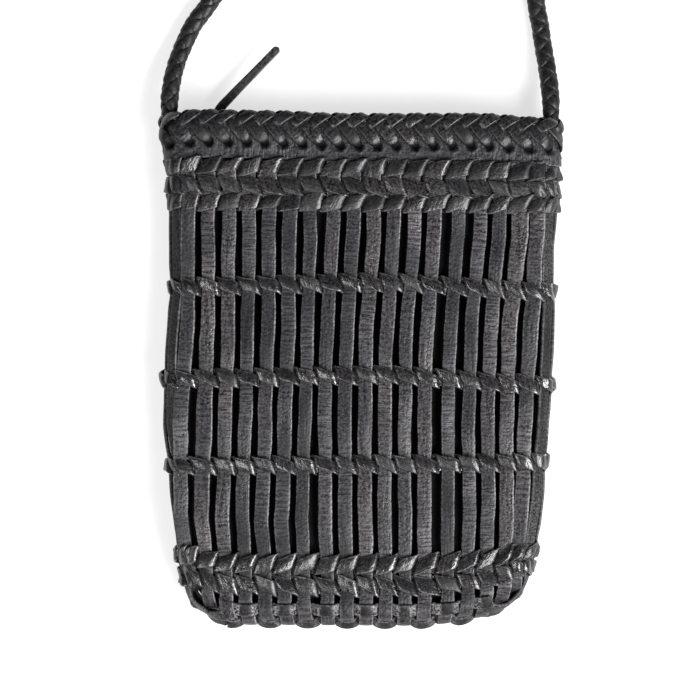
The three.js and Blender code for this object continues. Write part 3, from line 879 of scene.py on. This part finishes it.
def rim_point(run):
    """Point on the rim's middle line and its normal, from the front left by the right."""
    run = np.asarray(run, float) % RIM_LENGTH
    half = run >= RIM_LENGTH / 2
    part = np.where(half, run - RIM_LENGTH / 2, run)
    side = np.where(half, -1.0, 1.0)
    straight = part < RIM_STRAIGHT
    angle = math.pi / 2 - np.where(straight, 0, (part - RIM_STRAIGHT) / RIM_HALF_DEPTH)
    normal = np.stack([side * np.cos(angle), np.zeros_like(angle), side * np.sin(angle)], axis=-1)
    x = side * (np.where(straight, part, RIM_STRAIGHT) - RIM_STRAIGHT / 2)
    middle = np.stack([x, np.zeros_like(x), np.full_like(x, CENTRE_Z)], axis=-1)
    point = middle + RIM_HALF_DEPTH * normal
    point[..., 1] += np.interp(point[..., 0], RIM_SAG["x"], RIM_SAG["y"])
    return point, normal


def laced_point(run, climb, lift):
    """Point on the rim by the way up from a hole, over the top edge and down inside."""
    point, normal = rim_point(run)
    climb = np.asarray(climb, float)
    face = SHOULDER_Y - HOLE_Y
    angle = np.clip((climb - face) / EDGE_ARC, 0, 2) * math.pi / 2
    inner = np.clip(climb - face - 2 * EDGE_ARC, 0, None)
    height = np.minimum(climb, face) + HOLE_Y - inner + EDGE_HEIGHT * np.sin(angle)
    out = np.cos(angle) * EDGE_HEIGHT
    up = np.sin(angle) * RIM_THICK / 2
    size = np.hypot(out, up)
    facing = normal * (out / size)[:, None] + Y_AXIS * (up / size)[:, None]
    base = point + normal * (RIM_THICK / 2 * np.cos(angle))[:, None] + Y_AXIS * height[:, None]
    return base + facing * np.asarray(lift)[:, None], facing


def rim_lace(hole, kind, scale, crown, roll, tone, seed):
    """A short lace on the rim, along its path from a hole."""
    t = np.linspace(0, 1, RIM_LACE_STEPS)
    stops = np.linspace(0, 1, len(kind["lift"]))
    run = hole + curve(t, stops, kind["across"])
    line, facing = laced_point(run, curve(t, stops, kind["climb"]), curve(t, stops, kind["lift"]))
    across, normal = faced(line, facing)
    across, normal = rolled(across, normal, roll)
    width = scale * curve(t, stops, kind["width"])
    shade = np.repeat(np.clip(curve(t, stops, kind["shade"]), 0, 1), len(SECTION))
    return ribbon(line, across, normal, width, RIM_LACE_THICK, crown, tone=tone, seed=seed, shade=shade)


def add_rim_laces(material):
    draw = draws(seed=77, ranges=STITCH_RANGES)
    skins = []
    for stitch in range(RIM_STITCHES):
        hole = FIRST_HOLE + stitch * RIM_PITCH + draw("hole")
        for kind in (TONGUE, PLAIT, OVER):
            width = draw("width")
            crown = draw("crown")
            roll = kind["roll"] + draw("roll")
            tone = draw("tone")
            skins.append(rim_lace(hole, kind, width, crown, roll, tone, RIM_CHART_SEED + stitch))
    add_piece("rim_laces", skins, material, ["rim_lacing"])


def band_section():
    """Section of the rim's band, with close points on its outer face for the holes."""
    face = [(place, 1, 0) for place in np.linspace(-FACE_HALF, FACE_HALF, FACE_POINTS)]
    # The band's top and bottom faces carry the painted edge highlight
    upper = [(1, 0.6, 1), (1, -0.6, 1), (FACE_HALF, -1, 0.3)]
    lower = [(-place, height, edge_highlight) for place, height, edge_highlight in reversed(upper)]
    return face + upper + [(0, -1, 0)] + lower


def add_rim_band(material):
    run = np.arange(0, RIM_LENGTH, RIM_STEP)
    line, normal = rim_point(run)
    line = line + Y_AXIS * (RIM_TOP_Y + RIM_BOTTOM_Y) / 2
    across, normal = faced(line, normal, True)
    height = RIM_TOP_Y - RIM_BOTTOM_Y
    section = band_section()
    place = np.array([point[0] for point in section])
    outer = np.array([point[1] for point in section]) > OUTER_FROM
    up = place * height / 2 + (RIM_TOP_Y + RIM_BOTTOM_Y) / 2
    sign = 1 if np.mean(across @ Y_AXIS) > 0 else -1
    relief = np.zeros((len(run), len(section)))
    shade = np.zeros_like(relief)
    draw = draws(seed=78, ranges=CREASE)
    for stitch in range(RIM_STITCHES):
        hole = FIRST_HOLE + stitch * RIM_PITCH + HOLE["shift"]
        apart = (run - hole + RIM_LENGTH / 2) % RIM_LENGTH - RIM_LENGTH / 2
        far = np.hypot(apart[:, None], sign * up[None] - HOLE_Y + HOLE["drop"])
        relief -= HOLE["depth"] * np.exp(-((far / HOLE["radius"]) ** 4))
        relief += LIP["height"] * np.exp(-(((far - LIP["radius"]) / LIP["width"]) ** 2))
        # Painted shade over each hole
        shade += HOLE["dark"] * np.exp(-((far / HOLE["painted_shade_radius"]) ** 4))
        below = np.clip((HOLE_Y - CREASE["below"] - sign * up) / CREASE["fade"], 0, 1)
        crease = (apart - draw("shift"))[:, None]
        relief += draw("height") * below[None] * np.exp(-((crease / CREASE["width"]) ** 2))
    relief = relief * outer
    skin = ribbon(
        line, across, normal, height, RIM_THICK, crown=0.3, closed=True, section=section, relief=relief,
        shade=np.clip(shade * outer, 0, 1), tone=0.36, seed=90,
    )
    add_piece("rim_strip", [skin], material, ["rim_band"])


# Strap and thong

def add_strap(material):
    """Four laces in a round braid, two turning each way, over one and under one."""
    line, run = smooth_curve(STRAP_ROUTE, spacing=0.9)
    along = tangents(line)
    side = unit(np.cross(along, Z_AXIS))
    up = np.cross(side, along)
    from_end = np.minimum(run, run[-1] - run)
    swell = np.interp(from_end, BRAID_ENDS["from_end"], BRAID_ENDS["swell"]) + wander("braid swell", 0, run)
    skins = []
    for turn, start in BRAID_STARTS.items():
        for half in (0, 1):
            angle = turn * 2 * math.pi * run / BRAID_PITCH + half * math.pi + math.radians(start)
            wave = -turn * np.cos(4 * math.pi * run / BRAID_PITCH)
            radial = side * np.cos(angle)[:, None] + up * np.sin(angle)[:, None]
            radius = swell * (BRAID_RADIUS + BRAID_HEIGHT * wave)
            strand = line + radial * radius[:, None]
            across, normal = faced(strand, radial)
            width = swell * BRAID_LACE["width"] * (1 - BRAID_UNDER + BRAID_UNDER * wave)
            tone = np.clip(BRAID_TONE + wander("braid tone", half + turn, run), 0, 1)
            skins.append(ribbon(
                strand, across, normal, width, BRAID_LACE["thick"], swell * BRAID_LACE["crown"],
                section=ROUND_SECTION, tone=tone, seed=BRAID_SEED + half + turn,
            ))
    add_piece("strap_braid", skins, material, ["strap"])


def add_thong(material):
    line, run = smooth_curve(THONG_ROUTE, spacing=0.8)
    across, normal = faced(line, np.tile(Z_AXIS, (len(line), 1)))
    left = run[-1] - run
    tip = np.sqrt(np.clip(1 - (1 - np.clip(left / THONG_TIP, 0, 1)) ** 2, THONG_TIP_LEAST, 1))
    width = np.interp(left, [0, THONG_EVEN, run[-1]], [THONG_WIDTH, THONG_WIDTH, THONG_FOOT_WIDTH])
    skin = ribbon(line, across, normal, width * tip, THONG_THICK, crown=0.12, tone=0.35, seed=99)
    add_piece("thong", [skin], material, ["pull_thong"])


# Fabric pouch

def pouch_ring(y, around):
    """Points of the pouch at one height, and how far round it they lie."""
    reach = np.interp(y, POUCH["y"], POUCH["reach"])
    straight = 2 * (reach - POUCH_HALF_DEPTH)
    turn = math.pi * POUCH_HALF_DEPTH
    run = around * 2 * (straight + turn)
    half = run >= straight + turn
    part = np.where(half, run - straight - turn, run)
    side = np.where(half, -1, 1)
    angle = math.pi / 2 - np.clip((part - straight) / POUCH_HALF_DEPTH, 0, None)
    drift = FOLD_DRIFT * math.sin(y / FOLD_DRIFT_HEIGHT)
    fold = wander("cloth fold", 0, around * FOLD_ROUND + drift)
    fold = fold * np.interp(y, FOLD_SHARE["y"], FOLD_SHARE["share"])
    depth = POUCH_HALF_DEPTH + fold - POUCH_EASE
    x = side * (np.minimum(part, straight) - straight / 2 + depth * np.cos(angle)) + LEAN * y
    z = CENTRE_Z + side * depth * np.sin(angle)
    return np.stack([x, np.full_like(x, y), z], axis=1), run


def add_pouch(material):
    """Open bag of one layer of cloth with soft folds."""
    heights = np.linspace(POUCH["y"][0], POUCH["y"][-1], POUCH_ROWS)
    around = np.linspace(0, 1, POUCH_COLUMNS, endpoint=False)
    rings = [pouch_ring(y, around) for y in heights]
    points = np.vstack([ring for ring, _ in rings])
    flat = np.vstack([np.stack([run, np.full_like(run, y)], axis=1) for y, (_, run) in zip(heights, rings)])
    i, j = np.meshgrid(np.arange(POUCH_ROWS - 1), np.arange(POUCH_COLUMNS), indexing="ij")
    i, j = i.ravel(), j.ravel()
    beside = (j + 1) % POUCH_COLUMNS
    corners = [(i, j), (i + 1, j), (i + 1, beside), (i, beside)]
    quads = np.stack([row * POUCH_COLUMNS + column for row, column in corners], axis=1)
    bottom = list(range(POUCH_COLUMNS))
    none = np.zeros(len(points))
    skin = {
        "points": points,
        "faces": quads.tolist() + [bottom],
        "chart": np.vstack([flat[quads.ravel()], flat[bottom]]),
        "edge_highlight": none,
        "tone": np.full(len(points), MID_TONE),
        "shade": none,
    }
    pouch = add_piece("pouch_cloth", [skin], material, ["lining_pouch"])


# Materials

class Shader:
    """A material's nodes, with ways to add and join them."""

    def __init__(self, name):
        self.material = bpy.data.materials.new(name)
        self.material.use_nodes = True
        self.tree = self.material.node_tree
        self.surface = self.tree.nodes["Principled BSDF"]
        chart = self.add("ShaderNodeUVMap")
        chart.uv_map = "surface"
        self.chart = chart.outputs["UV"]

    def add(self, kind):
        return self.tree.nodes.new(kind)

    def join(self, output, socket):
        self.tree.links.new(output, socket)

    def fill(self, socket, value):
        if isinstance(value, bpy.types.NodeSocket):
            self.join(value, socket)
        else:
            socket.default_value = value

    def tint(self, name):
        node = self.add("ShaderNodeAttribute")
        node.attribute_name = name
        return node.outputs["Fac"]

    def noise(self, across, along, detail, rough=0.55):
        stretched = self.add("ShaderNodeVectorMath")
        stretched.operation = "MULTIPLY"
        self.join(self.chart, stretched.inputs[0])
        stretched.inputs[1].default_value = (across, along, 1)
        node = self.add("ShaderNodeTexNoise")
        self.join(stretched.outputs["Vector"], node.inputs["Vector"])
        node.inputs["Scale"].default_value = 1
        node.inputs["Detail"].default_value = detail
        node.inputs["Roughness"].default_value = rough
        return node.outputs["Fac"]

    def mottle(self, across, along, detail, low, high, rough=0.55, to_low=0.0):
        return self.span(self.noise(across, along, detail, rough), low, high, to_low)

    def math(self, operation, a, b):
        node = self.add("ShaderNodeMath")
        node.operation = operation
        self.fill(node.inputs[0], a)
        self.fill(node.inputs[1], b)
        return node.outputs[0]

    def span(self, value, low, high, to_low=0.0, to_high=1.0):
        node = self.add("ShaderNodeMapRange")
        self.join(value, node.inputs["Value"])
        ends = {"From Min": low, "From Max": high, "To Min": to_low, "To Max": to_high}
        for socket, end in ends.items():
            node.inputs[socket].default_value = end
        return node.outputs["Result"]

    def mix(self, share, a, b):
        node = self.add("ShaderNodeMix")
        node.data_type = "RGBA"
        self.join(share, node.inputs["Factor"])
        self.fill(node.inputs[6], a)
        self.fill(node.inputs[7], b)
        return node.outputs[2]

    def bump(self, height, distance):
        node = self.add("ShaderNodeBump")
        node.inputs["Strength"].default_value = 1
        node.inputs["Distance"].default_value = distance
        self.join(height, node.inputs["Height"])
        self.join(node.outputs["Normal"], self.surface.inputs["Normal"])


def leather(name, dark, cool, warm, edge_highlight, rough, sheen, crease, pebble, streak, relief):
    """Dyed leather: mottled grain, creases in patches, streaks, worn peaks and highlights painted pale along
    the edges.
    """
    shader = Shader(name)
    mottles = [shader.mottle(*noise) for noise in NOISES.values()]
    grain, fine, creases, streaks, patch, plain, blotch = mottles
    tone = shader.tint("tone")
    creased = shader.math("MULTIPLY", shader.math("MULTIPLY", creases, patch), crease)
    streaked = shader.math("MULTIPLY", streaks, shader.span(patch, 0, 1, streak, 0.0))
    height = shader.math("ADD", shader.math("ADD", shader.math("MULTIPLY", grain, pebble), creased), streaked)
    peaks = shader.math("ADD", height, shader.math("MULTIPLY", fine, FINE_SHARE))
    worn = shader.span(peaks, *WORN["height"])
    worn = shader.math("MULTIPLY", worn, shader.span(tone, *WORN["tone"]))
    worn = shader.math("MULTIPLY", worn, shader.span(blotch, *WORN["blotch"]))
    colour = shader.mix(worn, dark, shader.mix(tone, cool, warm))
    height = shader.math("MULTIPLY", height, plain)
    # Painted highlight: a pale colour laid along the edges of strips and laces, broken up by noise
    highlight_breaks = shader.span(grain, *HIGHLIGHT_BREAKS["grain"])
    highlight_breaks = shader.math("MULTIPLY", highlight_breaks, shader.span(blotch, *HIGHLIGHT_BREAKS["blotch"]))
    highlight_mask = shader.math("MULTIPLY", shader.tint("edge_highlight"), highlight_breaks)
    colour = shader.mix(highlight_mask, colour, edge_highlight)
    # Painted shade: near-black laid where the shade tint is high, in holes and where laces dive
    colour = shader.mix(shader.tint("shade"), colour, SHADE_COLOUR)
    shader.join(colour, shader.surface.inputs["Base Color"])
    dull = shader.math("ADD", shader.span(height, *DULL["height"]), shader.span(blotch, *DULL["blotch"]))
    dull = shader.math("ADD", dull, shader.span(tone, *DULL["tone"]))
    shader.join(shader.math("ADD", dull, rough), shader.surface.inputs["Roughness"])
    shine = shader.span(shader.tint("shade"), 0, 1, sheen, 0.0)
    shader.join(shine, shader.surface.inputs["Specular IOR Level"])
    shader.bump(height, relief * MM)
    return shader.material


def cloth(name, dark, pale):
    """Plain black cotton with a fine weave."""
    shader = Shader(name)
    weft = shader.noise(*THREADS, 1)
    warp = shader.noise(*THREADS[::-1], 1)
    weave = shader.math("ADD", weft, warp)
    colour = shader.mix(shader.span(weave, *THREAD_SPAN), dark, pale)
    shader.join(colour, shader.surface.inputs["Base Color"])
    shader.surface.inputs["Roughness"].default_value = 0.95
    shader.surface.inputs["Specular IOR Level"].default_value = 0.15
    shader.bump(weave, THREAD_RELIEF * MM)
    return shader.material


# Stage, light and camera

def add_stage():
    material = bpy.data.materials.new("pale_floor")
    material.use_nodes = True
    surface = material.node_tree.nodes["Principled BSDF"]
    for socket, value in FLOOR.items():
        surface.inputs[socket].default_value = value
    mesh = bpy.data.meshes.new("floor")
    corners = [(x * FLOOR_REACH, y * FLOOR_REACH, 0) for x, y in ((-1, -1), (1, -1), (1, 1), (-1, 1))]
    mesh.from_pydata(corners, [], [(0, 1, 2, 3)])
    mesh.materials.append(material)
    floor = placed("floor", mesh)


def add_light(name, aim, place, size, power):
    data = bpy.data.lights.new(name, "AREA")
    data.shape = "RECTANGLE"
    data.size, data.size_y = size
    data.energy = power
    light = placed(name, data)
    light.location = place
    direction = Vector(aim) - Vector(place)
    light.rotation_euler = direction.to_track_quat("-Z", "Y").to_euler()


def add_lights():
    world = bpy.data.worlds.new("studio")
    bpy.context.scene.world = world
    world.use_nodes = True
    background = world.node_tree.nodes["Background"]
    background.inputs["Color"].default_value = (1, 1, 1, 1)
    background.inputs["Strength"].default_value = WORLD_STRENGTH
    world.cycles_visibility.glossy = False
    middle = (FRAME_X * MM, FRAME_Y * MM, 0)
    for name, light in LIGHTS.items():
        add_light(name, middle, **light)


def add_camera():
    data = bpy.data.cameras.new("camera")
    data.lens = LENS
    data.sensor_width = SENSOR
    data.clip_end = 20
    camera = placed("camera", data)
    distance = FRAME_WIDTH / SENSOR * LENS
    camera.location = (FRAME_X * MM, FRAME_Y * MM, (FRONT_Z + distance) * MM)
    bpy.context.scene.camera = camera


add_camera()
add_lights()
add_stage()
bpy.context.scene.view_settings.view_transform = "Standard"

leathers = {name: leather(f"{name}_leather", *look) for name, look in LEATHERS.items()}
black_cloth = cloth("black_cloth", (0.0012, 0.0012, 0.0016, 1), (0.004, 0.004, 0.005, 1))

add_uprights(leathers["strip"])
add_base_strips(leathers["base"])
add_twined_rows(leathers["lace"], leathers["band"])
add_rim_band(leathers["strip"])
add_rim_laces(leathers["rim"])
add_pouch(black_cloth)
add_strap(leathers["braid"])
add_thong(leathers["strip"])
